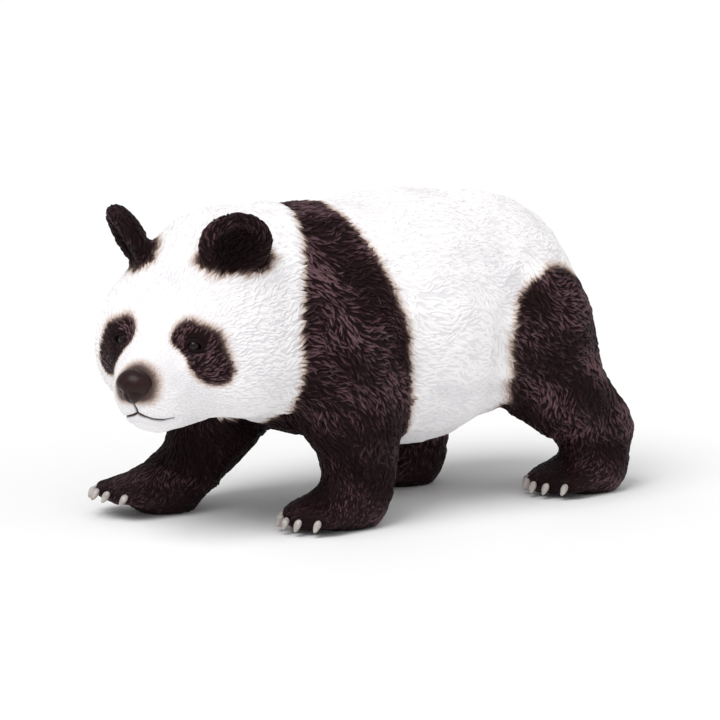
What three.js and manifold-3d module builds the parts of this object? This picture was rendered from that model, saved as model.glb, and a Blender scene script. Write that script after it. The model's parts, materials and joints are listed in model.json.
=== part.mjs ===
// A giant panda toy figure: a hand-painted animal of moulded vinyl, walking, its head turned to its left.
//
// Frame: millimetres, +Z up. The panda walks towards -Y, so its left side is at +X. The feet stand on z = 0.
//
// The body is one smooth field of blobs and limbs, as a sculptor would build it in clay. For each part a plain
// ball or capsule is wrapped onto that clay, and thin cuts part it from its neighbours.

import * as THREE from "three";
import { mergeVertices } from "three/addons/utils/BufferGeometryUtils.js";
import Module from "manifold-3d";

const wasm = await Module();
wasm.setup();

// ---------------------------------------------------------------------------------------------------------
// Driving dimensions
// ---------------------------------------------------------------------------------------------------------

const CUT_GAP = 0.3; // clear width of every cut between two parts
const SIZE = { trunk: 4.9, leg: 4.1, room: 5.2 }; // about how long the facets of a capsule are
const DETAIL = { head: 7, neck: 4, paw: 4, ear: 3, tail: 1, nose: 1, room: 4 }; // how far a ball is divided
const RAY_STEP = 0.5; // how finely a ray looks for its way out of the clay
const WORLD = 200; // larger than the figure, for half-space cutters

const HEAD = { centre: [3, -33.5, 33], yaw: 28 }; // turned to its left

// These stand in the head's own frame, with the face looking along -Y.
const EAR = { side: 9.5, front: 4.2, rise: 12.2, width: 11.6, height: 11.2, thick: 4.9, facing: 50, splay: 38 };
const EYE = { side: 6.2, front: 11.6, rise: -2.4, radius: 1.0 };
const NOSE = { front: 19.6, rise: -8.3, width: 5.9, height: 6, depth: 4.8 };

// A paw's sole lies on the floor of its own frame, toes towards -Y.
const PAW = { length: 19, width: 13, toes: 5, toeRadius: 1.8 };
// How a claw stands in its toe, and its profile from tip to root as [radius, distance from the root].
const CLAW = { spread: 1.02, out: 1.5, droop: 55, sides: 6 };
CLAW.profile = [[0, -1.9], [0.6, -1.5], [0.78, -0.5], [0, 0.8]];
const TAIL = { centre: [0, 37.4, 31.5], width: 6, length: 8.5, thick: 3.8, hang: 10 };

// Each leg: its joints from the top down as [x, y, z, radius], the ball that parts it from the flank, and its
// paw's middle, turn and lift.
const LEGS = {
  front_left: {
    joints: [[10.6, -15.5, 27, 9.6], [12.4, -11.5, 16.5, 7.3], [12.5, -9.1, 8.2, 5.1]],
    socket: [16, -15, 28, 10.5],
    paw: { at: [12.5, -14.8], turn: 4, lift: 0 },
    ankle: 6.5,
  },
  front_right: {
    joints: [[-10.6, -16, 27, 9.4], [-12.4, -20, 15, 7.4], [-12.5, -25.6, 7.5, 5.6]],
    socket: [-16, -16, 28, 10.5],
    paw: { at: [-12.5, -34], turn: -2, lift: 8.5 },
    ankle: 6.5,
  },
  hind_left: {
    joints: [[8, 23.8, 27.6, 11.6], [11, 28.6, 17.2, 7.6], [11, 38, 9.8, 5.4]],
    socket: [15.5, 23.5, 27, 13],
    paw: { at: [11, 32.8], turn: 4, lift: 0 },
    ankle: 6.5,
  },
  hind_right: {
    joints: [[-8, 18, 27, 12], [-10.6, 11.4, 15.5, 8.3], [-10.2, 15.4, 8.4, 5.6]],
    socket: [-15.5, 18.5, 27, 13],
    paw: { at: [-10.2, 10.6], turn: -4, lift: 0 },
    ankle: 6.5,
  },
};

// Where the rays start that wrap the trunk and the neck.
const TRUNK_AXIS = { front: [0, -15, 30], back: [0, 20, 30] };
const NECK_MIDDLE = [1, -23, 32];

// Where the body is parted: how far a leg's and the head's room reach past their own clay, the nape's place in the
// head's frame, and the slopes of an ankle and of the cut across the shoulders.
const SPLIT = { skirt: 1.3, ruff: 2.5, nape: 7.5, ankleTilt: 14, shoulders: [0, -14.5, 33], shoulderTilt: 12 };

// ---------------------------------------------------------------------------------------------------------
// Fields: each is a function (x, y, z) -> signed distance in mm, negative inside
// ---------------------------------------------------------------------------------------------------------

const rad = THREE.MathUtils.degToRad;

// An ellipsoid, turned by Euler angles in degrees.
function blob(centre, radii, turn = [0, 0, 0]) {
  const [cx, cy, cz] = centre;
  const [rx, ry, rz] = radii;
  const m = new THREE.Matrix4().makeRotationFromEuler(new THREE.Euler(...turn.map(rad), "ZYX")).transpose();
  const e = m.elements;
  return (x, y, z) => {
    const dx = x - cx;
    const dy = y - cy;
    const dz = z - cz;
    const px = (e[0] * dx + e[4] * dy + e[8] * dz) / rx;
    const py = (e[1] * dx + e[5] * dy + e[9] * dz) / ry;
    const pz = (e[2] * dx + e[6] * dy + e[10] * dz) / rz;
    const k0 = Math.hypot(px, py, pz);
    const k1 = Math.hypot(px / rx, py / ry, pz / rz);
    return k1 < 1e-9 ? -Math.min(rx, ry, rz) : (k0 * (k0 - 1)) / k1;
  };
}

// A tapering limb with round ends, from a to b, each [x, y, z, radius].
function limb(a, b) {
  const [ax, ay, az, ra] = a;
  const [bx, by, bz, rb] = b;
  const u = [bx - ax, by - ay, bz - az];
  const length2 = u[0] * u[0] + u[1] * u[1] + u[2] * u[2];
  const length = Math.sqrt(length2);
  const taper = (ra - rb) / length;
  const cone = Math.sqrt(1 - taper * taper);
  return (x, y, z) => {
    const px = x - ax;
    const py = y - ay;
    const pz = z - az;
    const along = (px * u[0] + py * u[1] + pz * u[2]) / length;
    const off = Math.sqrt(Math.max(0, px * px + py * py + pz * pz - along * along));
    const foot = along * cone - off * taper; // where the point falls on the cone's side
    if (foot < 0) return Math.hypot(along, off) - ra;
    if (foot > length * cone) return Math.hypot(along - length, off) - rb;
    return off * cone + along * taper - ra;
  };
}

// The smooth union of two distances, with a fillet about k wide.
function melt(a, b, k) {
  const h = Math.max(k - Math.abs(a - b), 0) / k;
  return Math.min(a, b) - h * h * h * k * (1 / 6);
}

// The smooth union of several fields.
function blend(k, ...fields) {
  return (x, y, z) => {
    let d = fields[0](x, y, z);
    for (let i = 1; i < fields.length; i++) d = melt(d, fields[i](x, y, z), k);
    return d;
  };
}

// body with a soft-edged hollow pressed into it.
function press(body, hollow, k) {
  return (x, y, z) => -melt(-body(x, y, z), hollow(x, y, z), k);
}

// A field modelled in its own frame, seen from the figure's frame.
function placed(field, matrix) {
  const e = matrix.clone().invert().elements;
  return (x, y, z) =>
    field(
      e[0] * x + e[4] * y + e[8] * z + e[12],
      e[1] * x + e[5] * y + e[9] * z + e[13],
      e[2] * x + e[6] * y + e[10] * z + e[14],
    );
}

// A field made narrower from side to side.
function squeeze(share, field) {
  return (x, y, z) => field(x / share, y, z) * share;
}

const bothSides = (make) => [make(1), make(-1)];

// ---------------------------------------------------------------------------------------------------------
// The clay: trunk, head, legs, paws
// ---------------------------------------------------------------------------------------------------------

const CHEST = [0, -13, 30.2, 17.7];
const BARREL = [0, 4, 29.6, 19.6];
const RUMP = [0, 18.6, 31.8, 17.5];
const trunkField = squeeze(0.97, blend(8, limb(CHEST, BARREL), limb(BARREL, RUMP)));

const neckField = squeeze(0.9, limb([0, -15, 32.8, 15.8], [2.2, -27.5, 35, 14.9]));

const tailField = blob(TAIL.centre, [TAIL.width / 2, TAIL.thick / 2, TAIL.length / 2], [-TAIL.hang, 0, 0]);

const headMatrix = new THREE.Matrix4()
  .makeTranslation(...HEAD.centre)
  .multiply(new THREE.Matrix4().makeRotationZ(rad(HEAD.yaw)));

// In the head's own frame: the face looks along -Y.
const skullField = blend(
  5,
  blob([0, 1.6, 0.6], [12.8, 12.6, 10.8]),
  blob([0, 5.4, 5.2], [6.8, 8.6, 9.2]),
  ...bothSides((s) => blob([s * 6.6, 0.4, -2.4], [9.3, 10.6, 10])),
  ...bothSides((s) => blob([s * 8, 0.4, -6.4], [8.4, 9.6, 8.4])),
  blob([0, -5.6, -5.2], [10, 8.2, 8]),
  limb([0, -8, -8, 6.2], [0, -14, -8.6, 4.5]),
  blob([0, -12.8, -10], [5.6, 4.8, 4.4]),
  limb([0, -4, -11, 4.6], [0, -12, -12.6, 3]),
);
const socketedField = press(
  skullField,
  (x, y, z) => blob([EYE.side, -EYE.front - 2.6, EYE.rise], [2.6, 2.6, 2])(Math.abs(x), y, z),
  2,
);
const headField = placed(socketedField, headMatrix);

// One ear, in its own frame: a thick round leaf, hollowed in front.
function earMatrix(s) {
  const turn = new THREE.Euler(0, rad(s * EAR.splay), rad(s * EAR.facing), "YZX");
  const spot = new THREE.Matrix4().makeTranslation(s * EAR.side, -EAR.front, EAR.rise);
  return headMatrix.clone().multiply(spot).multiply(new THREE.Matrix4().makeRotationFromEuler(turn));
}
const earLeaf = press(
  blob([0, 0, 0], [EAR.width / 2, EAR.thick / 2, EAR.height / 2]),
  blob([0, -EAR.thick * 0.74, 0], [EAR.width * 0.37, EAR.thick * 0.7, EAR.height * 0.37]),
  1,
);

// One paw, in its own frame: the middle of its sole at the origin, toes towards -Y.
function toeSpots() {
  const spread = PAW.width / 2 - PAW.toeRadius;
  return Array.from({ length: PAW.toes }, (_, i) => {
    const side = (2 * i) / (PAW.toes - 1) - 1; // -1 at one edge of the paw, +1 at the other
    return new THREE.Vector3(side * spread, -PAW.length / 2 + PAW.toeRadius + 2.6 * side * side, PAW.toeRadius + 0.3);
  });
}
const pawField = blend(
  0.8,
  blend(
    3,
    blob([0, 1.8, 3], [PAW.width / 2 - 0.4, PAW.length / 2 - 2.8, 4.3]),
    blob([0, 4.2, 4.8], [5.3, 4.7, 4.6]),
  ),
  ...toeSpots().map((t) => limb([t.x * 0.8, t.y + 5, 3.3, 2.2], [t.x, t.y, t.z, PAW.toeRadius])),
);
function pawMatrix({ at, turn, lift }) {
  const heel = PAW.length * 0.25;
  return new THREE.Matrix4()
    .makeTranslation(at[0], at[1], 0)
    .multiply(new THREE.Matrix4().makeRotationZ(rad(turn)))
    .multiply(new THREE.Matrix4().makeTranslation(0, heel, 0))
    .multiply(new THREE.Matrix4().makeRotationX(rad(-lift)))
    .multiply(new THREE.Matrix4().makeTranslation(0, -heel, 0));
}

const legFields = {};
const pawFields = {};
for (const name in LEGS) {
  const { joints, paw } = LEGS[name];
  legFields[name] = blend(3, limb(joints[0], joints[1]), limb(joints[1], joints[2]));
  pawFields[name] = placed(pawField, pawMatrix(paw));
}

// Everything but the ears and the tail, which are leaves of their own on it.
const body = (x, y, z) => {
  let d = melt(trunkField(x, y, z), neckField(x, y, z), 6);
  d = melt(d, headField(x, y, z), 3);
  for (const name in LEGS) d = melt(d, melt(legFields[name](x, y, z), pawFields[name](x, y, z), 2.5), 4);
  return d;
};

// ---------------------------------------------------------------------------------------------------------
// Wrapping: a plain closed shape is drawn onto the clay
// ---------------------------------------------------------------------------------------------------------

// The first place along a ray, from inside the clay, where it comes out.
function wayOut(field, from, direction) {
  const at = (t) => field(from.x + t * direction.x, from.y + t * direction.y, from.z + t * direction.z);
  let inside = 0;
  let outside = RAY_STEP;
  while (at(outside) < 0) {
    inside = outside;
    outside += RAY_STEP;
  }
  for (let i = 0; i < 12; i++) {
    const middle = (inside + outside) / 2;
    if (at(middle) < 0) inside = middle;
    else outside = middle;
  }
  return (inside + outside) / 2;
}

// Moves every vertex of a closed shape onto the field, along the ray that reaches it from its nearest point on
// the axis a-b. Points and field are in the same frame.
function wrap(geometry, a, b, field) {
  const { position } = geometry.attributes;
  const axis = new THREE.Line3(new THREE.Vector3(...a), new THREE.Vector3(...b));
  const vertex = new THREE.Vector3();
  const from = new THREE.Vector3();
  for (let i = 0; i < position.count; i++) {
    vertex.fromBufferAttribute(position, i);
    if (a === b) from.copy(axis.start);
    else axis.closestPointToPoint(vertex, true, from);
    const direction = vertex.clone().sub(from).normalize();
    vertex.copy(from).addScaledVector(direction, wayOut(field, from, direction));
    position.setXYZ(i, vertex.x, vertex.y, vertex.z);
  }
  return geometry;
}

// A wrapped ball, from a centre. `stretch` spaces its vertices for a longer or flatter shape.
function wrapBall(field, centre, detail, stretch = [1, 1, 1], matrix = new THREE.Matrix4()) {
  const ball = new THREE.IcosahedronGeometry(1, detail).scale(...stretch).applyMatrix4(matrix);
  return wrap(ball.translate(...centre), centre, centre, field);
}

// A wrapped capsule along an axis, with quads about `size` long.
function wrapCapsule(field, a, b, radius, size) {
  const along = new THREE.Vector3(...b).sub(new THREE.Vector3(...a));
  const around = Math.round((2 * Math.PI * radius) / size);
  const cap = Math.max(2, Math.round((Math.PI * radius) / 2 / size));
  const capsule = new THREE.CapsuleGeometry(radius, along.length(), cap, around, Math.round(along.length() / size));
  const turn = new THREE.Quaternion().setFromUnitVectors(new THREE.Vector3(0, 1, 0), along.clone().normalize());
  const middle = new THREE.Vector3(...a).addScaledVector(along, 0.5);
  return wrap(capsule.applyQuaternion(turn).translate(middle.x, middle.y, middle.z), a, b, field);
}

// ---------------------------------------------------------------------------------------------------------
// Solids
// ---------------------------------------------------------------------------------------------------------

function solid(geometry, matrix = new THREE.Matrix4()) {
  const bare = new THREE.BufferGeometry().setAttribute("position", geometry.getAttribute("position").clone());
  if (geometry.index) bare.setIndex(geometry.index.clone());
  const merged = mergeVertices(bare.applyMatrix4(matrix), 1e-4);
  return new wasm.Manifold(
    new wasm.Mesh({
      numProp: 3,
      vertProperties: new Float32Array(merged.attributes.position.array),
      triVerts: new Uint32Array(merged.index.array),
    }),
  );
}

// The named mesh of a solid. Slivers that a cut leaves beside it are dropped.
function part(name, piece, material) {
  const largest = piece.decompose().sort((a, b) => b.volume() - a.volume())[0];
  const { vertProperties, triVerts, numProp, numVert } = largest.getMesh();
  const position = new Float32Array(numVert * 3);
  for (let i = 0; i < numVert; i++) position.set(vertProperties.subarray(i * numProp, i * numProp + 3), i * 3);
  const geometry = new THREE.BufferGeometry().setAttribute("position", new THREE.BufferAttribute(position, 3));
  geometry.setIndex(new THREE.BufferAttribute(new Uint32Array(triVerts), 1));
  geometry.computeVertexNormals();
  const mesh = new THREE.Mesh(geometry, material);
  mesh.name = name;
  return mesh;
}

function box(low, high) {
  const size = low.map((l, i) => high[i] - l);
  const middle = low.map((l, i) => (l + high[i]) / 2);
  return new THREE.BoxGeometry(...size).translate(...middle);
}

// A copy of a smooth geometry with every vertex moved out by `gap`.
function grown(geometry, gap) {
  const copy = mergeVertices(geometry.clone().deleteAttribute("uv").deleteAttribute("normal"), 1e-4);
  copy.computeVertexNormals();
  const { position, normal } = copy.attributes;
  for (let i = 0; i < position.count; i++) {
    position.setXYZ(
      i,
      position.getX(i) + gap * normal.getX(i),
      position.getY(i) + gap * normal.getY(i),
      position.getZ(i) + gap * normal.getZ(i),
    );
  }
  return copy;
}

// A shape as a pair: the room it fills, and the wider room its neighbours leave free.
function fitted(geometry, matrix) {
  return { fill: solid(geometry, matrix), clear: solid(grown(geometry, CUT_GAP), matrix) };
}

// All that lies on the low side of a matrix's z = 0 plane, as such a pair.
function half(matrix) {
  const below = (gap) => solid(box([-WORLD, -WORLD, -WORLD], [WORLD, WORLD, gap]), matrix);
  return { fill: below(0), clear: below(CUT_GAP) };
}

// The body's clay, no farther out than `reach` from another field, for one part to be cut from.
const near = (field, reach) => (x, y, z) => Math.max(body(x, y, z), field(x, y, z) - reach);

const floor = solid(box([-WORLD, -WORLD, -WORLD], [WORLD, WORLD, 0]));
const standing = (geometry) => solid(geometry).subtract(floor);

// ---------------------------------------------------------------------------------------------------------
// The rooms and slopes that part the body
// ---------------------------------------------------------------------------------------------------------

// A leg is all the clay inside a chain of balls, from a wide one on the flank down to the ankle, above a slope.
// What lies below the slope is its paw.
const legChains = {};
const legRooms = {};
const ankles = {};
for (const name in LEGS) {
  const { joints, socket, ankle, paw } = LEGS[name];
  const balls = [socket, ...joints.slice(1).map(([x, y, z, r]) => [x + Math.sign(x) * 0.6, y, z, r + SPLIT.skirt])];
  legChains[name] = blend(3, limb(balls[0], balls[1]), limb(balls[1], balls[2]));
  legRooms[name] = fitted(wrapCapsule(legChains[name], balls[0].slice(0, 3), balls[2].slice(0, 3), 11, SIZE.room));
  const slope = new THREE.Matrix4()
    .makeTranslation(0, 3, ankle)
    .multiply(new THREE.Matrix4().makeRotationX(rad(-SPLIT.ankleTilt)));
  ankles[name] = half(pawMatrix(paw).multiply(slope));
}

// The head is the clay near its own ball, in front of a slope through the nape. The neck is the rest of what
// lies in front of a slope across the shoulders.
const napeMatrix = headMatrix
  .clone()
  .multiply(new THREE.Matrix4().makeTranslation(0, SPLIT.nape, 0))
  .multiply(new THREE.Matrix4().makeRotationX(-Math.PI / 2));
const nape = half(napeMatrix);
const headBall = (x, y, z) => headField(x, y, z) - SPLIT.ruff;
const headOuter = fitted(wrapBall(headBall, HEAD.centre, DETAIL.room));
const headRoom = { fill: headOuter.fill.intersect(nape.fill), clear: headOuter.clear.intersect(nape.clear) };
const shoulders = half(
  new THREE.Matrix4()
    .makeTranslation(...SPLIT.shoulders)
    .multiply(new THREE.Matrix4().makeRotationX(rad(SPLIT.shoulderTilt) - Math.PI / 2)),
);

// ---------------------------------------------------------------------------------------------------------
// Details that stand in pockets: ears, tail, nose, eyes and claws
// ---------------------------------------------------------------------------------------------------------

const ears = {};
for (const [side, s] of [["left", 1], ["right", -1]]) {
  const leaf = wrapBall(earLeaf, [0, EAR.thick * 0.25, 0], DETAIL.ear, [EAR.width, EAR.thick, EAR.height]);
  ears[side] = fitted(leaf, earMatrix(s));
}
const tail = fitted(wrapBall(tailField, TAIL.centre, DETAIL.tail, [TAIL.width, TAIL.thick, TAIL.length]));

// The nose pad: broad above, narrow below, in the head's frame.
const noseBack = -NOSE.front + NOSE.depth / 2;
const noseField = blend(
  1.2,
  blob([0, noseBack, NOSE.rise + 0.5], [NOSE.width / 2, NOSE.depth / 2, NOSE.height * 0.36]),
  blob([0, noseBack + 0.3, NOSE.rise - 0.8], [NOSE.width * 0.33, NOSE.depth / 2, NOSE.height * 0.36]),
);
const noseCentre = [0, noseBack, NOSE.rise];
const nose = fitted(wrapBall(noseField, noseCentre, DETAIL.nose, [NOSE.width, NOSE.depth, NOSE.height]), headMatrix);

const eyes = {};
for (const [side, s] of [["left", 1], ["right", -1]]) {
  const spot = new THREE.Matrix4().makeTranslation(s * EYE.side, -EYE.front + EYE.radius, EYE.rise);
  const ball = new THREE.IcosahedronGeometry(EYE.radius, 1);
  eyes[side] = fitted(ball, headMatrix.clone().multiply(spot));
}

// A claw is a small blunt cone, its tip towards -Y in its own frame, rooted in the toe.
const clawShape = new THREE.LatheGeometry(
  CLAW.profile.map(([radius, along]) => new THREE.Vector2(radius, along)),
  CLAW.sides,
);
const claws = {};
for (const name in LEGS) {
  const matrix = pawMatrix(LEGS[name].paw);
  claws[name] = toeSpots().map((t) => {
    const turn = new THREE.Euler(rad(CLAW.droop), 0, rad(-t.x * 4), "ZYX");
    const spot = new THREE.Matrix4().makeTranslation(t.x * CLAW.spread, t.y - CLAW.out, t.z);
    return fitted(clawShape, matrix.clone().multiply(spot).multiply(new THREE.Matrix4().makeRotationFromEuler(turn)));
  });
}

// ---------------------------------------------------------------------------------------------------------
// The parts
// ---------------------------------------------------------------------------------------------------------

const colours = {
  white: "#f1eeec",
  black: "#2e2525",
  nose: "#1f1716",
  eye: "#120c0b",
  claw: "#a39c98",
};
const materials = Object.fromEntries(
  Object.entries(colours).map(([name, color]) => [
    name,
    new THREE.MeshStandardMaterial({ name, color, roughness: name === "nose" || name === "eye" ? 0.2 : 0.5 }),
  ]),
);

const cut = (piece, ...shapes) => shapes.reduce((left, shape) => left.subtract(shape.clear), piece);

const torso = new THREE.Group();
const rooms = Object.values(legRooms);
const flank = (x, y, z) => melt(trunkField(x, y, z), neckField(x, y, z), 6);
const trunkClay = standing(wrapCapsule(near(flank, 4), TRUNK_AXIS.front, TRUNK_AXIS.back, 18, SIZE.trunk));
const neckClay = standing(wrapBall(near(flank, 4), NECK_MIDDLE, DETAIL.neck));
torso.add(
  part("trunk", cut(trunkClay, shoulders, headRoom, tail, ...rooms), materials.white),
  part("neck", cut(neckClay.intersect(shoulders.fill), headRoom, ears.left, ears.right, ...rooms), materials.black),
  part("tail", tail.fill, materials.white),
);

const head = new THREE.Group();
const headClay = standing(wrapBall(near(headBall, 3), HEAD.centre, DETAIL.head)).intersect(headRoom.fill);
head.add(
  part("head", cut(headClay, ears.left, ears.right, nose, eyes.left, eyes.right), materials.white),
  part("nose", nose.fill, materials.nose),
);
for (const side of ["left", "right"]) {
  head.add(
    part("ear_" + side, ears[side].fill, materials.black),
    part("eye_" + side, eyes[side].fill, materials.eye),
  );
}

const limbs = new THREE.Group();
for (const name in LEGS) {
  const { joints, paw } = LEGS[name];
  const [hip, , ankle] = joints.map((joint) => joint.slice(0, 3));
  const legClay = standing(wrapCapsule(near(legChains[name], 4), hip, ankle, 9, SIZE.leg));
  const leg = cut(legClay.intersect(legRooms[name].fill), ankles[name], headRoom);
  const turn = new THREE.Matrix4().makeRotationZ(rad(paw.turn));
  const aroundPaw = near(pawFields[name], 6);
  const instep = new THREE.Vector3(0, 2, 4).applyMatrix4(pawMatrix(paw)).toArray();
  const pawClay = standing(wrapBall(aroundPaw, instep, DETAIL.paw, [PAW.width, PAW.length * 1.1, 10], turn));
  const foot = cut(pawClay.intersect(ankles[name].fill), ...claws[name]);
  limbs.add(part("leg_" + name, leg, materials.black), part("paw_" + name, foot, materials.black));
  claws[name].forEach((claw, i) => {
    limbs.add(part(`claw_${name}_${i + 1}`, claw.fill.subtract(floor), materials.claw));
  });
}

// The origin is the middle of the figure's box, on the floor.
const figure = new THREE.Group();
figure.add(torso, head, limbs);
const bounds = new THREE.Box3().setFromObject(figure);
figure.position.set(-(bounds.min.x + bounds.max.x) / 2, -(bounds.min.y + bounds.max.y) / 2, -bounds.min.z);

export default figure;
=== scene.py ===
# %% [markdown]
# # A painted toy panda
#
# The real object is a small moulded figure of a walking giant panda, about 94 mm long. One piece of vinyl carries
# a fur relief of short curved strokes, and it is painted by hand: airbrushed black areas with brown edges, a dry
# brush of lighter paint over the strokes, glossy eyes and pale claws.
#
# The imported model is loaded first. Its nodes give every place and size, so the skin, the coat and the small parts
# below are all worked out from it, and nothing has to be fitted by eye.

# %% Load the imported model
import json
from math import cos, pi, radians, sin

import bpy
import numpy as np
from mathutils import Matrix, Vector
from mathutils.bvhtree import BVHTree
from mathutils.kdtree import KDTree

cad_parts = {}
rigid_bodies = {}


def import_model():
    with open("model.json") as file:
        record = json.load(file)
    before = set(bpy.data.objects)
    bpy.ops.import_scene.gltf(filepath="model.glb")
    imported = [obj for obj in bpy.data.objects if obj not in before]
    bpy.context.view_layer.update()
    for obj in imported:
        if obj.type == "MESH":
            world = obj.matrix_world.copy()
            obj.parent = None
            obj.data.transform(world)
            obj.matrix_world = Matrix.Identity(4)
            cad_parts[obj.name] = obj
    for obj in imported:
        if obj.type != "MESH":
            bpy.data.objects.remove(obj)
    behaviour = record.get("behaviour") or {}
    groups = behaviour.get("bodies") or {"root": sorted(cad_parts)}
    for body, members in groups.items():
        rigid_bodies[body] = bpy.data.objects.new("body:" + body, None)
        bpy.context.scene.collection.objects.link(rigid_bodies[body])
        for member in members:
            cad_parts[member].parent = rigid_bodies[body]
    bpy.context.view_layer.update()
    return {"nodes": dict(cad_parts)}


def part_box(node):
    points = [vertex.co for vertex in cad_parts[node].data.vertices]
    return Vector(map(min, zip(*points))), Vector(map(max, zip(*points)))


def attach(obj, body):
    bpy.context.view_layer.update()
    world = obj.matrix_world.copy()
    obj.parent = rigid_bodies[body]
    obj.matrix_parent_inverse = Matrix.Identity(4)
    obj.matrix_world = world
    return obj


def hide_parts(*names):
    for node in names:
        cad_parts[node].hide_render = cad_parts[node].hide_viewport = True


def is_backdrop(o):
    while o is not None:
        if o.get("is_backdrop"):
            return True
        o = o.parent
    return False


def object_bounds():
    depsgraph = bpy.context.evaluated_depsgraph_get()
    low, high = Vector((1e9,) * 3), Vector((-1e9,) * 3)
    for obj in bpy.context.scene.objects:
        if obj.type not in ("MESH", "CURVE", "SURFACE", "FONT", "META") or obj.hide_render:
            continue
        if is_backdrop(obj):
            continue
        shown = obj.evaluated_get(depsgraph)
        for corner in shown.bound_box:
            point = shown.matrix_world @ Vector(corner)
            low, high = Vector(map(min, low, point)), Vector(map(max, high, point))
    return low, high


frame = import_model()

MM = 0.001

# %% [markdown]
# The camera comes early, because every judgement of the shape is made through it. A toy is shot from a fair
# distance with a long lens, which keeps the near paw from looking big. The camera stands to the front and left of
# the figure, a little above its back, and looks at a point just under the middle of the body.

# %% Camera
CAMERA_AZIMUTH = radians(57)
CAMERA_ELEVATION = radians(9)
CAMERA_DISTANCE = 480 * MM
FIGURE_MIDDLE = Vector((0.1, 3.9, 27.0)) * MM
CAMERA_AIM = Vector((-0.4, 2.0, 23.1)) * MM
LENS = 151.2

bpy.ops.object.select_all(action="DESELECT")
back = Vector((
    sin(CAMERA_AZIMUTH) * cos(CAMERA_ELEVATION),
    -cos(CAMERA_AZIMUTH) * cos(CAMERA_ELEVATION),
    sin(CAMERA_ELEVATION),
))
eye_point = FIGURE_MIDDLE + back * CAMERA_DISTANCE
bpy.ops.object.camera_add(location=eye_point)
camera = bpy.context.object
camera.rotation_euler = (CAMERA_AIM - eye_point).to_track_quat("-Z", "Y").to_euler()
camera.data.lens = LENS
camera.data.clip_start = 0.01
camera.data.clip_end = 20
bpy.context.scene.camera = camera
print("camera at, mm:", [round(v / MM, 1) for v in eye_point])

# %% [markdown]
# Sculpting in code needs the points of a mesh as one array, and a way to write them back. Everything that is
# shaped below uses millimetres, because the strokes of the fur are a few tenths of a millimetre and metres would
# make the numbers hard to read. A step that fades in between two values is used everywhere, so it gets a name.

# %% Small helpers
def read(items, key, width=1, kind=float):
    """One property of all the items of a mesh as an array."""
    flat = np.empty(len(items) * width, dtype=kind)
    items.foreach_get(key, flat)
    return flat.reshape(-1, width) if width > 1 else flat


def points_of(piece):
    """The piece's vertices as an array of millimetres."""
    return read(piece.data.vertices, "co", 3) / MM


def normals_of(piece):
    """The piece's vertex normals as an array."""
    return read(piece.data.vertex_normals, "vector", 3)


def set_points(piece, points):
    """Writes an array of millimetres back to the piece."""
    piece.data.vertices.foreach_set("co", (points * MM).ravel())
    piece.data.update()


def fade(value, start, end):
    """0 before start, 1 after end, and a smooth step between them; start may be the larger."""
    t = np.clip((value - start) / (end - start), 0.0, 1.0)
    return t * t * (3 - 2 * t)


def unit(vectors):
    """Each vector at length 1."""
    return vectors / np.maximum(np.linalg.norm(vectors, axis=-1, keepdims=True), 1e-9)


def only(piece):
    """Selects one piece and makes it active."""
    bpy.ops.object.select_all(action="DESELECT")
    piece.select_set(True)
    bpy.context.view_layer.objects.active = piece


def new_object(name, mesh):
    """A piece with this mesh in the scene."""
    piece = bpy.data.objects.new(name, mesh)
    bpy.context.collection.objects.link(piece)
    return piece


def smooth(piece):
    """Shades one piece smooth."""
    only(piece)
    bpy.ops.object.shade_smooth()


def tree_of(points):
    """A search tree for the nearest of these points."""
    tree = KDTree(len(points))
    for i, p in enumerate(points):
        tree.insert(p, i)
    tree.balance()
    return tree


def apply_modifier(piece, kind, **settings):
    """Adds a modifier with its settings and applies it."""
    only(piece)
    bpy.ops.object.modifier_add(type=kind)
    modifier = piece.modifiers[-1]
    for key, value in settings.items():
        setattr(modifier, key, value)
    bpy.ops.object.modifier_apply(modifier=modifier.name)


# %% [markdown]
# ## The skin
#
# On the toy the body is one moulding, so no seam may show where the head, neck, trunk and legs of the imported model
# meet. Copies of those nodes are joined, pushed out a little so that they overlap across their thin gaps, and
# melted together by a voxel remesh. The remesh is the tool of choice here, because it makes one closed surface
# from any overlapping shells, with even quads that can then be sculpted.

# %% Copies of the flesh nodes
FLESH = sorted(n for n in frame["nodes"] if not n.startswith(("claw", "eye", "nose")))
POCKETED = sorted(set(frame["nodes"]) - set(FLESH))

copies = []
for node in FLESH + POCKETED:
    copy = new_object("copy_" + node, frame["nodes"][node].data.copy())
    only(copy)
    bpy.ops.object.mode_set(mode="EDIT")
    bpy.ops.mesh.select_all(action="SELECT")
    bpy.ops.mesh.remove_doubles(threshold=0.001 * MM)
    bpy.ops.object.mode_set(mode="OBJECT")
    copies.append(copy)
print("flesh nodes:", len(FLESH), "and what fills their pockets:", len(POCKETED))

# %% One surface from the copies
FINE_OVERLAP = 0.3
WIDE_OVERLAP = 1.0
CLAW_OVERLAP = -0.25
VOXEL = 0.5


def overlap_of(node):
    """Wide where limbs leave a crevice beside the trunk, and fine where small forms must stay apart."""
    if node.startswith("claw"):
        return CLAW_OVERLAP
    return WIDE_OVERLAP if node.startswith(("trunk", "neck", "leg")) else FINE_OVERLAP


for copy, node in zip(copies, FLESH + POCKETED):
    apply_modifier(copy, "DISPLACE", strength=overlap_of(node) * MM, mid_level=0.0)
bpy.ops.object.select_all(action="DESELECT")
for copy in copies:
    copy.select_set(True)
skin = copies[0]
bpy.context.view_layer.objects.active = skin
bpy.ops.object.join()
skin.name = "skin"
skin.data.materials.clear()
apply_modifier(skin, "REMESH", mode="VOXEL", voxel_size=VOXEL * MM)
print("remeshed points:", len(skin.data.vertices))

# %% [markdown]
# Small hollows between the solids give shells of their own inside the body. Only the shell that holds the highest
# point is kept: everything linked to that point is selected, and the rest is deleted.

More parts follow.
